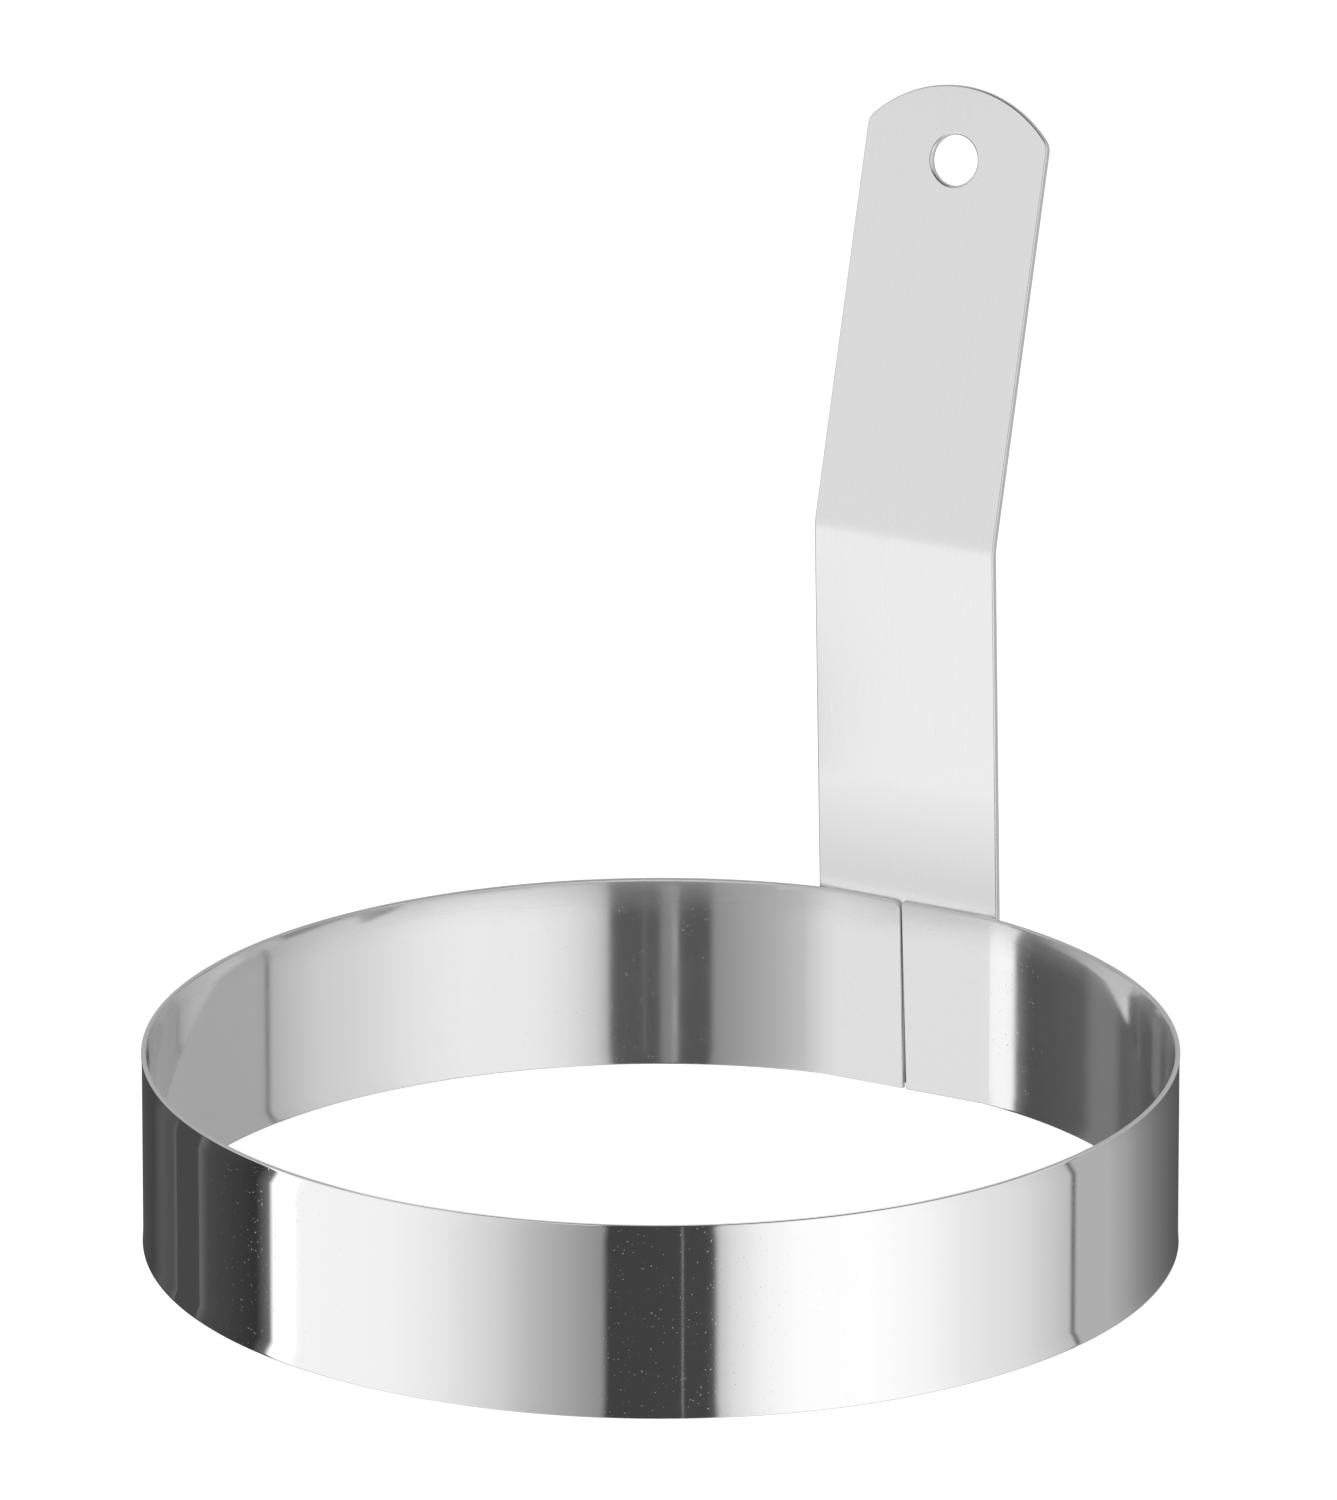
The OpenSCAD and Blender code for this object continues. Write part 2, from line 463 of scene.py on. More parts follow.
@dataclass
class SpotWelds:
    """Four nuggets of fused steel between the band and the handle's foot."""

    pitch_x: float = 10.0 * MM
    low_z: float = 5.6 * MM
    high_z: float = 13.8 * MM
    mark_r: float = 1.7 * MM
    mark_depth: float = 0.08 * MM
    finish: FusedSteel = FusedSteel()

    def centres(self) -> list[tuple[float, float]]:
        """Gives the welds' places across and up the foot."""
        return [(x, z) for x in (-self.pitch_x / 2, self.pitch_x / 2)
                for z in (self.low_z, self.high_z)]

    def dress(self) -> None:
        """Gives the CAD nuggets their finish."""
        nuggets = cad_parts["spot_welds"]
        nuggets.data.materials.clear()
        nuggets.data.materials.append(self.finish.material())
        LOG.info("spot_welds: CAD nuggets with a dull fused finish")


@dataclass
class RingBand:
    """The strip bent to a ring, with a flat seat for the handle and a butt seam."""

    outer_r: float = 50.0 * MM
    height: float = 19.4 * MM
    sheet: float = 0.5 * MM
    seat_half: float = 9.0 * MM
    left_ease_r: float = 18.0 * MM
    right_ease_r: float = 7.0 * MM
    seam_top_x: float = -0.5 * MM
    seam_bottom_x: float = 0.0
    seam_top: float = 0.1 * MM
    seam_bottom: float = 0.3 * MM
    end_corner_r: float = 1.0 * MM
    end_corner_steps: int = 8
    edge_r: float = 0.11 * MM
    edge_steps: int = 4
    sharp_angle: float = 50.0
    flare_h: float = 1.7 * MM
    flare: float = 0.07 * MM
    flare_steps: int = 7
    round_steps: int = 300
    ease_steps: int = 24
    finish: PolishedSteel = PolishedSteel()

    @property
    def seat_y(self) -> float:
        """Outer face of the flat seat."""
        return math.sqrt(self.outer_r ** 2 - self.seat_half ** 2)

    def build(self) -> bpy.types.Object:
        """Bends the strip round from one side of the seam to the other.

        Returns:
            The band's piece.
        """
        mesh = bmesh.new()
        left_x, left_y, left_turn = self.ease(self.left_ease_r)
        right_x, right_y, right_turn = self.ease(self.right_ease_r)
        round_turn = 2 * math.pi - left_turn - right_turn
        left, right = self.seam_top_x - self.seam_top / 2, self.seam_top_x + self.seam_top / 2
        cap = self.section(mesh, left)
        section = self.straight(mesh, cap, -left_x - left)
        section = self.bend(mesh, section, (-left_x, left_y), left_turn, self.ease_steps)
        section = self.bend(mesh, section, (0, 0), round_turn, self.round_steps)
        section = self.bend(mesh, section, (right_x, right_y), right_turn, self.ease_steps)
        self.straight(mesh, section, right - right_x)
        bmesh.ops.delete(mesh, geom=[face for face in section if face.is_valid],
                         context="FACES_ONLY")
        self.round_end_corner(mesh, left)
        self.open_seam(mesh)
        self.round_edges(mesh)
        self.flare_rims(mesh)
        piece = finish_piece(mesh, "ring_band_bent", "ring_band")
        LOG.info("ring_band_bent: %d faces", len(piece.data.polygons))
        return piece

    def ease(self, radius: float) -> tuple[float, float, float]:
        """Places the arc that eases the round into the flat seat.

        Args:
            radius: The arc's radius on the outer face.

        Returns:
            The arc's centre beside and behind the ring's axis, and its turn in radians.
        """
        y = self.seat_y - radius
        x = math.sqrt((self.outer_r - radius) ** 2 - y ** 2)
        return x, y, math.atan2(x, y)

    def section(self, mesh: bmesh.types.BMesh, x: float) -> list[bmesh.types.BMFace]:
        """Makes the strip's section at one side of the seam.

        Args:
            mesh: The mesh that it goes into.
            x: The place of the strip's end.

        Returns:
            The section's one face.
        """
        square = bmesh.ops.create_grid(mesh, x_segments=1, y_segments=1, size=0.5)["verts"]
        bmesh.ops.rotate(mesh, verts=square, matrix=Matrix.Rotation(math.pi / 2, 3, "Y"))
        bmesh.ops.scale(mesh, verts=square, vec=(1, self.sheet, self.height))
        place = (x, self.seat_y - self.sheet / 2, self.height / 2)
        bmesh.ops.translate(mesh, verts=square, vec=place)
        return list(mesh.faces)

    def straight(self, mesh: bmesh.types.BMesh, section: list[bmesh.types.BMFace],
                 length: float) -> list[bmesh.types.BMFace]:
        """Draws the strip on along X.

        Args:
            mesh: The band's mesh.
            section: The face at the strip's end.
            length: Way along X, negative to the left.

        Returns:
            The face at the new end.
        """
        drawn = bmesh.ops.extrude_face_region(mesh, geom=section)["geom"]
        bmesh.ops.translate(mesh, verts=only(drawn, bmesh.types.BMVert), vec=(length, 0, 0))
        return only(drawn, bmesh.types.BMFace)

    def bend(self, mesh: bmesh.types.BMesh, section: list[bmesh.types.BMFace],
             centre: tuple[float, float], angle: float, steps: int) -> list[bmesh.types.BMFace]:
        """Draws the strip on round an upright axis.

        Args:
            mesh: The band's mesh.
            section: The face at the strip's end.
            centre: The axis, across and along.
            angle: The turn, in radians.
            steps: Flat steps in the turn.

        Returns:
            The face at the new end.
        """
        last = bmesh.ops.spin(mesh, geom=section, cent=(*centre, 0), axis=(0, 0, 1),
                              angle=angle, steps=steps, use_duplicate=False)["geom_last"]
        bmesh.ops.delete(mesh, geom=[face for face in section if face.is_valid],
                         context="FACES_ONLY")
        return only(last, bmesh.types.BMFace)

    def round_end_corner(self, mesh: bmesh.types.BMesh, left: float) -> None:
        """Rounds the top corner of the left end.

        Args:
            mesh: The band's mesh.
            left: The place of the left end.
        """
        corner = [edge for edge in mesh.edges
                  if all(abs(vert.co.x - left) < END_GAP and vert.co.y > 0
                         and vert.co.z > self.height - END_GAP for vert in edge.verts)]
        bmesh.ops.bevel(mesh, geom=corner, offset=self.end_corner_r, segments=self.end_corner_steps,
                        profile=0.5, affect="EDGES", clamp_overlap=True, material=-1)

    def open_seam(self, mesh: bmesh.types.BMesh) -> None:
        """Leans both ends of the strip, so that the seam leans and is wider at the bottom.

        Args:
            mesh: The band's mesh.
        """
        near = self.end_corner_r + 2 * self.seam_bottom
        widening = (self.seam_bottom - self.seam_top) / 2
        for vert in mesh.verts:
            if vert.co.y > 0 and abs(vert.co.x - self.seam_top_x) < near:
                side = math.copysign(1, vert.co.x - self.seam_top_x)
                lean = self.seam_bottom_x - self.seam_top_x + side * widening
                vert.co.x += lean * (1 - vert.co.z / self.height)

    def round_edges(self, mesh: bmesh.types.BMesh) -> None:
        """Rounds the rims and both ends of the strip.

        Args:
            mesh: The band's mesh.
        """
        bmesh.ops.recalc_face_normals(mesh, faces=mesh.faces)
        least = math.radians(self.sharp_angle)
        sharp = [edge for edge in mesh.edges
                 if len(edge.link_faces) == 2 and edge.calc_face_angle() > least]
        bmesh.ops.bevel(mesh, geom=sharp, offset=self.edge_r, segments=self.edge_steps,
                        profile=0.5, affect="EDGES", clamp_overlap=True, material=-1)

    def flare_rims(self, mesh: bmesh.types.BMesh) -> None:
        """Spreads both rims slightly outward, as shearing leaves them, but not at the seat.

        Args:
            mesh: The band's mesh.
        """
        steps = [self.flare_h * step / self.flare_steps for step in range(1, self.flare_steps + 1)]
        for z in [*steps, *(self.height - step for step in steps)]:
            cut_level(mesh, z)
        for vert in mesh.verts:
            from_rim = min(vert.co.z, self.height - vert.co.z)
            if from_rim < self.flare_h:
                radius = math.hypot(vert.co.x, vert.co.y)
                beside_seat = (abs(vert.co.x) - self.seat_half) / self.seat_half
                fade = 1.0 if vert.co.y < 0 else min(max(beside_seat, 0.0), 1.0)
                share = fade * (1 - from_rim / self.flare_h) ** 2
                vert.co.x += vert.co.x / radius * self.flare * share
                vert.co.y += vert.co.y / radius * self.flare * share

    def dress(self, piece: bpy.types.Object) -> None:
        """Gives the band its polish."""
        piece.data.materials.append(self.finish.material(self.outer_r - self.sheet / 2, self.height))


@dataclass
class StripHandle:
    """The flat strip with foot, two bends, domed tip and hanging hole.

    Its near face lies at near_y against the band, whose top rim is at rim_z.
    """

    near_y: float
    rim_z: float
    width: float = 19.9 * MM
    sheet: float = 0.8 * MM
    foot_z: float = 0.4 * MM
    foot_corner_r: float = 2.0 * MM
    rim_to_bend: float = 0.4 * MM
    rim_bend_r: float = 12.0 * MM
    lower_lean: float = 1.8
    upper_lean: float = 15.5
    main_bend_r: float = 6.0 * MM
    lower_leg: float = 37.7 * MM
    upper_leg: float = 44.5 * MM
    tip_r: float = 13.3 * MM
    tip_corner_r: float = 1.8 * MM
    hole_r: float = 2.5 * MM
    hole_from_tip: float = 7.3 * MM
    edge_r: float = 0.16 * MM
    hole_edge_r: float = 0.3 * MM
    edge_steps: int = 4
    arc_steps: int = 12
    tip_steps: int = 40
    hole_steps: int = 72
    mark_steps: int = 40
    mark_shares: tuple[float, ...] = (0.93, 0.8, 0.6, 0.35, 0.12)
    main_steps: int = 24
    rim_steps: int = 4
    bend_margin: float = 0.05 * MM
    finish: SatinSteel = SatinSteel()

    @property
    def main_turn(self) -> float:
        """Turn of the main bend, in radians."""
        return math.radians(self.lower_lean + self.upper_lean)

    @property
    def main_bend_half(self) -> float:
        """Length that the main bend takes from each leg."""
        return (self.main_bend_r + self.sheet) * math.tan(self.main_turn / 2)

    @property
    def rim_bend_z(self) -> float:
        """Height at which the rim bend starts."""
        return self.rim_z + self.rim_to_bend

    @property
    def rim_arc(self) -> float:
        """Length of the rim bend on the near face."""
        return self.rim_bend_r * math.radians(self.lower_lean)

    @property
    def main_bend_z(self) -> float:
        """Height at which the main bend starts, before the strip is bent."""
        straight = self.lower_leg - self.rim_to_bend - self.main_bend_half
        return self.rim_bend_z + self.rim_arc + straight

    @property
    def main_arc(self) -> float:
        """Length of the main bend on the near face."""
        return (self.main_bend_r + self.sheet) * self.main_turn

    @property
    def tip_z(self) -> float:
        """Height of the tip before the strip is bent."""
        return self.main_bend_z + self.main_arc + self.upper_leg - self.main_bend_half

    def build(self, welds: SpotWelds) -> bpy.types.Object:
        """Cuts the strip flat, then bends it.

        Args:
            welds: The welds that leave their marks on the back of the foot.

        Returns:
            The handle's piece.
        """
        mesh = bmesh.new()
        rims = [self.outline(mesh, inset, self.near_y + depth)
                for inset, depth in self.rounding(self.edge_r)]
        holes = [self.hole(mesh, inset, self.near_y + depth)
                 for inset, depth in self.rounding(self.hole_edge_r)]
        for loops in (rims, holes):
            for one, other in zip(loops, loops[1:]):
                bmesh.ops.bridge_loops(mesh, edges=one + other)
        self.fill(mesh, rims[0] + holes[0])
        marks = [self.weld_mark(mesh, welds, *centre) for centre in welds.centres()]
        self.fill(mesh, rims[-1] + holes[-1] + sum(marks, []))
        self.bend_at(mesh, self.main_bend_z, self.main_arc, -self.main_turn, self.main_steps)
        self.bend_at(mesh, self.rim_bend_z, self.rim_arc, math.radians(self.lower_lean),
                     self.rim_steps)
        piece = finish_piece(mesh, "handle_bent", "handle")
        LOG.info("handle_bent: %d faces", len(piece.data.polygons))
        return piece

    def rounding(self, near_r: float) -> list[tuple[float, float]]:
        """Gives the places along an edge of the sheet, rounded on both faces.

        Args:
            near_r: Radius of the rounding on the near face. The far one takes edge_r.

        Returns:
            How far each place lies inside the edge, and its depth from the near face.
        """
        turns = [step * math.pi / 2 / self.edge_steps for step in range(self.edge_steps + 1)]
        near = [(near_r * (1 - math.sin(a)), near_r * (1 - math.cos(a))) for a in turns]
        far = [(self.edge_r * (1 - math.sin(a)), self.sheet - self.edge_r * (1 - math.cos(a)))
               for a in turns]
        return near + far[::-1]

    def outline(self, mesh: bmesh.types.BMesh, inset: float, y: float) -> list[bmesh.types.BMEdge]:
        """Draws the outline of the flat strip, standing up at one depth.

        Args:
            mesh: The handle's mesh.
            inset: How far the outline lies inside the strip's edge.
            y: Depth at which it stands.

        Returns:
            The outline's edges, closed.
        """
        before = set(mesh.edges)
        half = self.width / 2
        corner_x = half - self.tip_corner_r
        corner_up = math.sqrt((self.tip_r - self.tip_corner_r) ** 2 - corner_x ** 2)
        corner_z = self.tip_z - self.tip_r + corner_up
        turn = math.atan2(corner_x, corner_up)
        pen = bmesh.ops.create_vert(mesh, co=(0, y, self.foot_z + inset))["vert"][0]
        foot_x, foot_z = half - self.foot_corner_r, self.foot_z + self.foot_corner_r
        pen = self.draw_to(mesh, pen, (foot_x, y, self.foot_z + inset))
        pen = self.draw_round(mesh, pen, (foot_x, y, foot_z), math.pi / 2, self.arc_steps)
        pen = self.draw_to(mesh, pen, (half - inset, y, corner_z))
        pen = self.draw_round(mesh, pen, (corner_x, y, corner_z), math.pi / 2 - turn, self.arc_steps)
        self.draw_round(mesh, pen, (0, y, self.tip_z - self.tip_r), turn, self.tip_steps // 2)
        right = [edge for edge in mesh.edges if edge not in before]
        corners = list({vert for edge in right for vert in edge.verts})
        bmesh.ops.mirror(mesh, geom=corners + right, merge_dist=END_GAP, axis="X")
        return [edge for edge in mesh.edges if edge not in before]

    def draw_to(self, mesh: bmesh.types.BMesh, pen: bmesh.types.BMVert,
                place: tuple[float, float, float]) -> bmesh.types.BMVert:
        """Draws a straight edge.

        Args:
            mesh: The handle's mesh.
            pen: The vertex where the edge starts.
            place: Where it ends.

        Returns:
            The vertex at its end.
        """
        drawn = bmesh.ops.extrude_vert_indiv(mesh, verts=[pen])["verts"]
        drawn[0].co = place
        return drawn[0]

    def draw_round(self, mesh: bmesh.types.BMesh, pen: bmesh.types.BMVert,
                   centre: tuple[float, float, float], angle: float,
                   steps: int) -> bmesh.types.BMVert:
        """Draws an arc that turns left as seen from inside the ring.

        Args:
            mesh: The handle's mesh.
            pen: The vertex where the arc starts.
            centre: The arc's centre.
            angle: The turn, in radians.
            steps: Straight steps in the arc.

        Returns:
            The vertex at its end.
        """
        last = bmesh.ops.spin(mesh, geom=[pen], cent=centre, axis=(0, -1, 0), angle=angle,
                              steps=steps, use_duplicate=False)["geom_last"]
        return only(last, bmesh.types.BMVert)[0]

    def ring_of(self, mesh: bmesh.types.BMesh, radius: float, place: tuple[float, float, float],
                steps: int) -> list[bmesh.types.BMEdge]:
        """Draws an upright circle that faces the ring.

        Args:
            mesh: The handle's mesh.
            radius: The circle's radius.
            place: Its centre.
            steps: Straight steps in it.

        Returns:
            The circle's edges.
        """
        turned = Matrix.Translation(place) @ Matrix.Rotation(math.pi / 2, 4, "X")
        verts = bmesh.ops.create_circle(mesh, cap_ends=False, segments=steps, radius=radius,
                                        matrix=turned)["verts"]
        return list({edge for vert in verts for edge in vert.link_edges})

    def hole(self, mesh: bmesh.types.BMesh, inset: float, y: float) -> list[bmesh.types.BMEdge]:
        """Draws the hanging hole at one depth and returns its edges."""
        return self.ring_of(mesh, self.hole_r + inset, (0, y, self.tip_z - self.hole_from_tip),
                            self.hole_steps)

    def weld_mark(self, mesh: bmesh.types.BMesh, welds: SpotWelds, x: float,
                  z: float) -> list[bmesh.types.BMEdge]:
        """Sinks one weld's round mark into the back of the foot.

        Args:
            mesh: The handle's mesh.
            welds: The welds' sizes.
            x: The weld's place across the foot.
            z: The weld's height.

        Returns:
            The edges of the mark's rim, which the back face is filled up to.
        """
        far_y = self.near_y + self.sheet
        rim = self.ring_of(mesh, welds.mark_r, (x, far_y, z), self.mark_steps)
        loop = rim
        for share in self.mark_shares:
            drawn = bmesh.ops.extrude_edge_only(mesh, edges=loop)["geom"]
            loop = only(drawn, bmesh.types.BMEdge)
            reach = welds.mark_r * share
            sunk = welds.mark_depth * (1 - share ** 2)
            for vert in only(drawn, bmesh.types.BMVert):
                out = Vector((vert.co.x - x, 0, vert.co.z - z)).normalized() * reach
                vert.co = Vector((x, far_y - sunk, z)) + out
        bmesh.ops.contextual_create(mesh, geom=loop)
        return rim

    def fill(self, mesh: bmesh.types.BMesh, edges: list[bmesh.types.BMEdge]) -> None:
        """Fills the flat face between an outline and the holes in it."""
        bmesh.ops.triangle_fill(mesh, edges=edges, use_beauty=True)

    def bend_at(self, mesh: bmesh.types.BMesh, start: float, length: float, angle: float,
                steps: int) -> None:
        """Folds the strip in many small creases, the highest first.

        Args:
            mesh: The handle's mesh.
            start: Height at which the bend starts.
            length: The bend's length on the near face.
            angle: Its turn in radians, positive towards the ring.
            steps: Number of creases.
        """
        creases = [start + (step + 0.5) * length / steps for step in range(steps)]
        for z in [start - self.bend_margin, *creases, start + length + self.bend_margin]:
            cut_level(mesh, z)
        for z in reversed(creases):
            above = [vert for vert in mesh.verts if vert.co.z > z + MESH_GAP]
            bmesh.ops.rotate(mesh, verts=above, cent=(0, self.near_y, z),
                             matrix=Matrix.Rotation(angle / steps, 3, "X"))

    def dress(self, piece: bpy.types.Object, welds: SpotWelds) -> None:
        """Gives the handle its satin grain."""
        piece.data.materials.append(self.finish.material(welds))


@dataclass(frozen=True)
class Glow:
    """One stop of the tent's brightness round the object.

    Azimuth is seen from above, 0 towards the camera and positive to its right.
    """

    azimuth: float
    level: float


@dataclass(frozen=True)
class Card:
    """An upright glowing card, placed from the ring's axis, from its first to its second side.

    Right is the camera's right, near is towards the camera, and low and high are the heights
    of its lower and upper edge. The levels run from the first side to the second, or from the
    bottom to the top of an upward card.
    """

    name: str
    right: tuple[float, float]
    near: tuple[float, float]
    low: tuple[float, float]
    high: tuple[float, float]
    levels: tuple[float, float]
    upward: bool = False


@dataclass
class Studio:
    """Pale floor, light tent with dark flags, cards that the steel mirrors, and the camera."""

    azimuth: float = 29.57
    elevation: float = 20.12
    distance: float = 1.991
    focal_pixels: float = 20595.0
    aim_up: float = 47.06 * MM
    aim_right: float = 0.76 * MM
    sensor: float = 36.0
    clip: tuple[float, float] = (0.1, 50.0)
    floor_r: float = 4.0
    floor_steps: int = 64
    floor_colour: tuple[float, float, float] = (0.80, 0.80, 0.80)
    floor_glow: float = 0.75
    tent_r: float = 0.9
    tent_steps: int = 128
    tent_right: float = 0.4
    tent_near: float = 0.1
    tent_low: float = -1.0
    tent_high: float = 1.2
    low_glow: tuple[Glow, ...] = (
        Glow(-180, 0.10), Glow(-150, 0.06), Glow(-142, 0.11), Glow(-134, 0.09),
        Glow(-130, 0.21), Glow(-121, 0.21), Glow(-116, 0.08), Glow(-97, 0.04),
        Glow(-92.1, 0.20), Glow(-91.4, 1.40), Glow(-85.0, 1.40), Glow(-84.2, 1.12),
        Glow(-60, 1.10), Glow(-49, 1.01), Glow(-35, 0.78), Glow(-28.7, 0.61),
        Glow(-12.5, 0.34), Glow(-12.1, 0.06), Glow(11.2, 0.07), Glow(12.0, 0.62),
        Glow(15.5, 0.88), Glow(22, 1.10), Glow(30, 1.22), Glow(46, 1.24),
        Glow(60, 1.14), Glow(71, 0.99), Glow(86, 0.87), Glow(102.2, 0.60),
        Glow(102.5, 0.14), Glow(103.1, 0.14), Glow(103.4, 0.53), Glow(175, 0.47),
    )
    high_glow: tuple[Glow, ...] = (
        Glow(-180, 0.50), Glow(-115, 0.50), Glow(-95, 0.86), Glow(-14, 0.86),
        Glow(-11, 0.07), Glow(11, 0.07), Glow(14, 0.86), Glow(95, 0.86),
        Glow(115, 0.50), Glow(180, 0.50),
    )
    horizon: tuple[float, float] = (-0.20, -0.05)
    sky_horizon: tuple[float, float] = (-0.3, 0.3)
    roof_level: float = 0.12
    ground_level: float = 0.70
    cards: tuple[Card, ...] = (
        Card("front_stick", mm(12.7, 13.3), mm(180, 180), mm(-95, -95), mm(-1, -1), (0.42, 0.42)),
        Card("grey_strip", mm(0, -3.5), mm(45, 45), mm(-60, -60), mm(-2, -2), (0.28, 0.28)),
        Card("pale_strip", mm(-3.5, -4.6), mm(45, 45), mm(-60, -60), mm(-2, -2), (0.60, 0.60)),
        Card("right_shade", mm(50.2, 75), mm(0, 0), mm(-2, -15), mm(19, 6), (0.09, 0.415)),
        Card("right_fade", mm(75, 88), mm(0, 0), mm(-15, -20), mm(6, 1), (0.415, 0.50)),
        Card("left_shade", mm(-64, -78), mm(0, 0), mm(-10, -17), mm(13, 4), (0.075, 0.075)),
        Card("handle_shade", mm(10.5, 29.7), mm(-46.1, -35.3), mm(18.1, 18.1), mm(30, 30),
             (0.78, 1.01), upward=True),
        Card("tip_shade", mm(-60, 60), mm(-35, -35), mm(125, 110), mm(200, 200), (0.05, 0.05)),
        Card("handle_glow", mm(-30, 27), mm(-25, -25), mm(10, 20.3), mm(48, 56), (1.04, 1.04)),
    )

    def view_basis(self) -> tuple[Vector, Vector, Vector]:
        """Works out how the camera is turned.

        Returns:
            Its back, right and up directions while it looks at the base.
        """
        turn, rise = math.radians(self.azimuth), math.radians(self.elevation)
        back = Vector((math.sin(turn) * math.cos(rise), -math.cos(turn) * math.cos(rise),
                       math.sin(rise)))
        right, _ = self.level_basis()
        return back, right, back.cross(right)

    def level_basis(self) -> tuple[Vector, Vector]:
        """Gives the studio's level directions.

        Returns:
            The directions to the camera's right and towards the camera.
        """
        turn = math.radians(self.azimuth)
        right = Vector((math.cos(turn), math.sin(turn), 0))
        return right, Vector((math.sin(turn), -math.cos(turn), 0))

    def build_camera(self) -> None:
        """Places the camera at the photograph's angle and frame."""
        back, right, up = self.view_basis()
        place = back * self.distance
        aim = up * self.aim_up + right * self.aim_right
        data = bpy.data.cameras.new("camera")
        data.sensor_width = self.sensor
        data.lens = self.focal_pixels * self.sensor / PHOTO_HEIGHT
        data.clip_start, data.clip_end = self.clip
        camera = bpy.data.objects.new("camera", data)
        camera.location = place
        camera.rotation_mode = "QUATERNION"
        camera.rotation_quaternion = (aim - place).to_track_quat("-Z", "Y")
        bpy.context.scene.collection.objects.link(camera)
        bpy.context.scene.camera = camera

    def build_floor(self) -> None:
        """Lays the pale floor, which the camera sees as white with a soft shadow.

        It can't be seen from below, and the steel mirrors the tent's lower wall in its place.
        """
        mesh = bmesh.new()
        bmesh.ops.create_circle(mesh, cap_ends=True, segments=self.floor_steps, radius=self.floor_r)
        floor = new_object(mesh, "floor")
        floor.visible_glossy = False
        made, graph = new_material("pale_floor")
        light = graph.add("ShaderNodeLightPath")
        matt = graph.add("ShaderNodeBsdfDiffuse", Color=(*self.floor_colour, 1.0))
        white = graph.add("ShaderNodeEmission", Color=(1, 1, 1, 1), Strength=self.floor_glow)
        both = graph.add("ShaderNodeAddShader")
        graph.plug(matt.outputs[0], both.inputs[0])
        graph.plug(white.outputs[0], both.inputs[1])
        seen = graph.add("ShaderNodeMixShader", Fac=light.outputs["Is Camera Ray"])
        graph.plug(matt.outputs[0], seen.inputs[1])
        graph.plug(both.outputs[0], seen.inputs[2])
        clear = graph.add("ShaderNodeBsdfTransparent")
        side = graph.add("ShaderNodeMixShader",
                         Fac=graph.add("ShaderNodeNewGeometry").outputs["Backfacing"])
        graph.plug(seen.outputs[0], side.inputs[1])
        graph.plug(clear.outputs[0], side.inputs[2])
        graph.add("ShaderNodeOutputMaterial", Surface=side.outputs[0])
        floor.data.materials.append(made)

    def stage_glow(self, mesh: bmesh.types.BMesh, name: str, made: bpy.types.Material,
                   graph: Graph, glow: bpy.types.NodeSocket | float) -> None:
        """Turns a mesh into a light that the camera doesn't see.

        The tent also lights matt surfaces. A card shows in reflections only.

        Args:
            mesh: The light's shape, which is freed here.
            name: Its name.
            made: Its material.
            graph: The material's nodes.
            glow: Its level, as a number or a link.
        """
        lamp = new_object(mesh, name)
        lamp.visible_camera = False
        lamp.visible_shadow = False
        lamp.visible_diffuse = name == "tent"
        shine = graph.add("ShaderNodeEmission", Color=(1, 1, 1, 1), Strength=glow)
        graph.add("ShaderNodeOutputMaterial", Surface=shine.outputs[0])
        lamp.data.materials.append(made)

    def glow_graph(self, name: str) -> tuple[bpy.types.Material, Graph]:
        """Starts a light's material.

        Args:
            name: Its name.

        Returns:
            The material and its empty nodes.
        """
        made, graph = new_material(name)
        made.cycles.emission_sampling = "NONE"
        return made, graph

    def build_tent(self) -> None:
        """Builds the round wall of the light tent, brighter and darker as one turns."""
        right, near = self.level_basis()
        middle = right * self.tent_right + near * self.tent_near + Vector((0, 0, self.tent_low))
        mesh = bmesh.new()
        ring = bmesh.ops.create_circle(mesh, cap_ends=False, segments=self.tent_steps,
                                       radius=self.tent_r)["verts"]
        bmesh.ops.translate(mesh, verts=ring, vec=middle)
        drawn = bmesh.ops.extrude_edge_only(mesh, edges=list(mesh.edges))["geom"]
        bmesh.ops.translate(mesh, verts=only(drawn, bmesh.types.BMVert),
                            vec=(0, 0, self.tent_high - self.tent_low))
        made, graph = self.glow_graph("tent_wall")
        where = graph.add("ShaderNodeTexCoord").outputs["Object"]
        turned = graph.add("ShaderNodeVectorRotate", {"rotation_type": "Z_AXIS"},
                           Vector=where, Angle=-math.radians(self.azimuth))
        split = graph.add("ShaderNodeSeparateXYZ", Vector=turned.outputs[0])
        x, y = split.outputs["X"], split.outputs["Y"]
        round_angle = graph.math("ARCTAN2", x, graph.math("MULTIPLY", y, -1.0))
        share = graph.math("MULTIPLY_ADD", round_angle, 0.5 / math.pi, 0.5)
        away = graph.math("SQRT", graph.math("ADD", graph.math("MULTIPLY", x, x),
                                             graph.math("MULTIPLY", y, y)))
        rise = graph.math("DIVIDE", split.outputs["Z"], away)
        low = graph.add("ShaderNodeValToRGB", Fac=share)
        self.set_stops(low.color_ramp, self.low_glow)
        high = graph.add("ShaderNodeValToRGB", Fac=share)
        self.set_stops(high.color_ramp, self.high_glow)
        level = graph.blend(graph.ease(rise, *self.horizon), low.outputs["Color"],
                            high.outputs["Color"])
        self.stage_glow(mesh, "tent", made, graph, level)

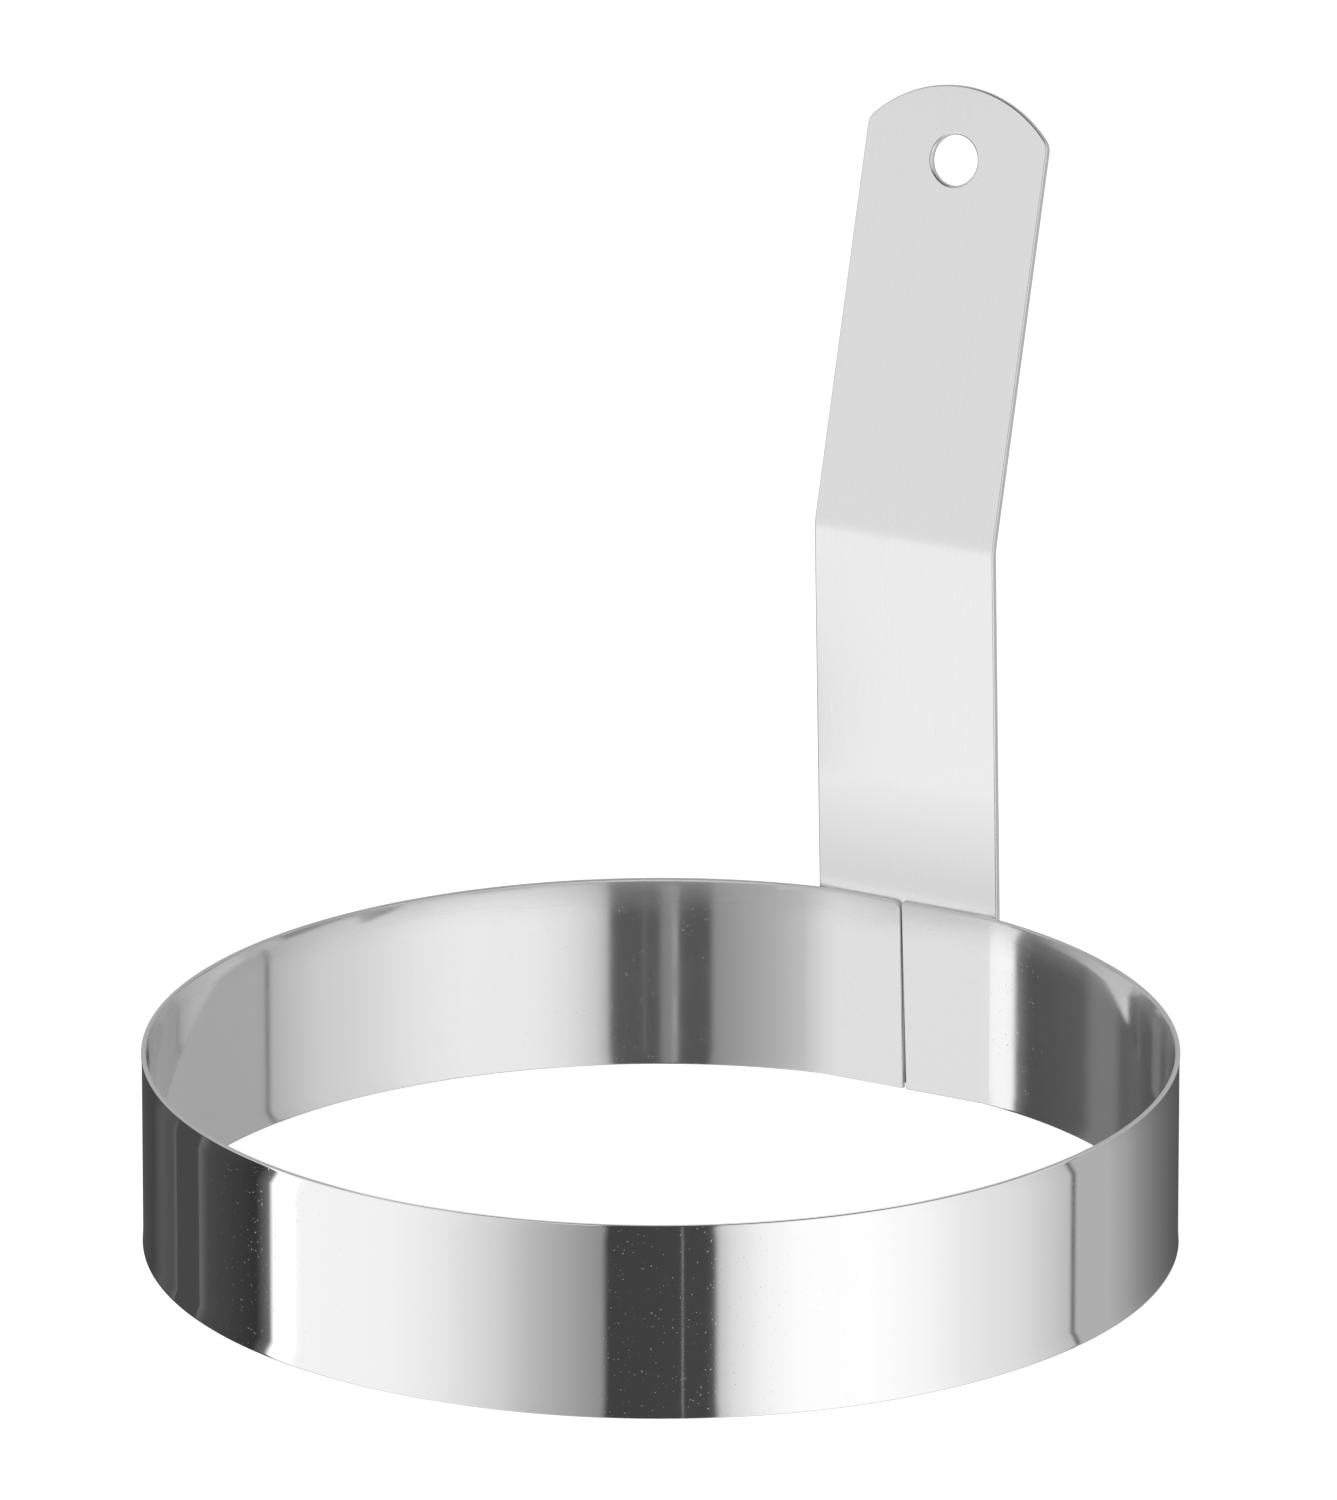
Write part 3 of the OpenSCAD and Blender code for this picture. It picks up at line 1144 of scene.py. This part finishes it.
    def build_cards(self) -> None:
        """Builds the cards that show in the steel, as fine lines, dark edges or a soft fade."""
        right, near = self.level_basis()
        for card in self.cards:
            mesh = bmesh.new()
            start = right * card.right[0] + near * card.near[0]
            end = right * card.right[1] + near * card.near[1]
            foot = bmesh.ops.create_vert(mesh, co=(start.x, start.y, card.low[0]))["vert"][0]
            side = bmesh.ops.extrude_vert_indiv(mesh, verts=[foot])
            side["verts"][0].co = (end.x, end.y, card.low[1])
            drawn = bmesh.ops.extrude_edge_only(mesh, edges=side["edges"])["geom"]
            for vert in only(drawn, bmesh.types.BMVert):
                at_start = (vert.co.xy - start.xy).length < (vert.co.xy - end.xy).length
                vert.co.z = card.high[0 if at_start else 1]
            made, graph = self.glow_graph(card.name + "_light")
            where = graph.add("ShaderNodeTexCoord").outputs["Object"]
            split = graph.add("ShaderNodeSeparateXYZ", Vector=where)
            first, last = (card.low[0], card.high[0]) if card.upward else (start.x, end.x)
            level = graph.add("ShaderNodeMapRange", From_Min=first, From_Max=last,
                              To_Min=card.levels[0], To_Max=card.levels[1])
            graph.plug(split.outputs["Z" if card.upward else "X"], level.inputs["Value"])
            self.stage_glow(mesh, card.name, made, graph, level.outputs["Result"])

    def build_sky(self) -> None:
        """Builds the world: white for the camera, dim above and paler below for the steel."""
        world = bpy.data.worlds.new("room")
        world.use_nodes = True
        bpy.context.scene.world = world
        graph = Graph(world.node_tree)
        where = graph.add("ShaderNodeTexCoord").outputs["Generated"]
        split = graph.add("ShaderNodeSeparateXYZ", Vector=where)
        level = graph.ease(split.outputs["Z"], *self.sky_horizon, self.ground_level,
                           self.roof_level)
        light = graph.add("ShaderNodeLightPath")
        room = graph.add("ShaderNodeBackground", Color=(1, 1, 1, 1), Strength=level)
        white = graph.add("ShaderNodeBackground", Color=(1, 1, 1, 1), Strength=1.0)
        seen = graph.add("ShaderNodeMixShader", Fac=light.outputs["Is Camera Ray"])
        graph.plug(room.outputs[0], seen.inputs[1])
        graph.plug(white.outputs[0], seen.inputs[2])
        graph.add("ShaderNodeOutputWorld", Surface=seen.outputs[0])

    def set_stops(self, ramp: bpy.types.ColorRamp, glows: tuple[Glow, ...]) -> None:
        """Writes a tent's brightness round the object into a colour ramp.

        Args:
            ramp: The ramp, which holds at most 32 stops.
            glows: The levels, from behind by the left, the front and the right to behind.
        """
        ramp.interpolation = "LINEAR"
        while len(ramp.elements) > 1:
            ramp.elements.remove(ramp.elements[-1])
        ramp.elements[0].position = 0.0
        for number, glow in enumerate(glows):
            place = glow.azimuth / 360 + 0.5
            stop = ramp.elements[0] if number == 0 else ramp.elements.new(place)
            stop.color = (glow.level, glow.level, glow.level, 1.0)


def main() -> None:
    """Builds the studio and the ring, piece by piece."""
    logging.basicConfig(level=logging.INFO, format="%(message)s")
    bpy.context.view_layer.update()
    bpy.context.scene.view_settings.view_transform = "Standard"
    studio = Studio()
    studio.build_camera()
    studio.build_floor()
    studio.build_tent()
    studio.build_cards()
    studio.build_sky()
    welds = SpotWelds()
    welds.dress()
    band = RingBand()
    band.dress(band.build())
    handle = StripHandle(near_y=band.seat_y, rim_z=band.height)
    handle.dress(handle.build(welds), welds)


if __name__ == "__main__":
    main()
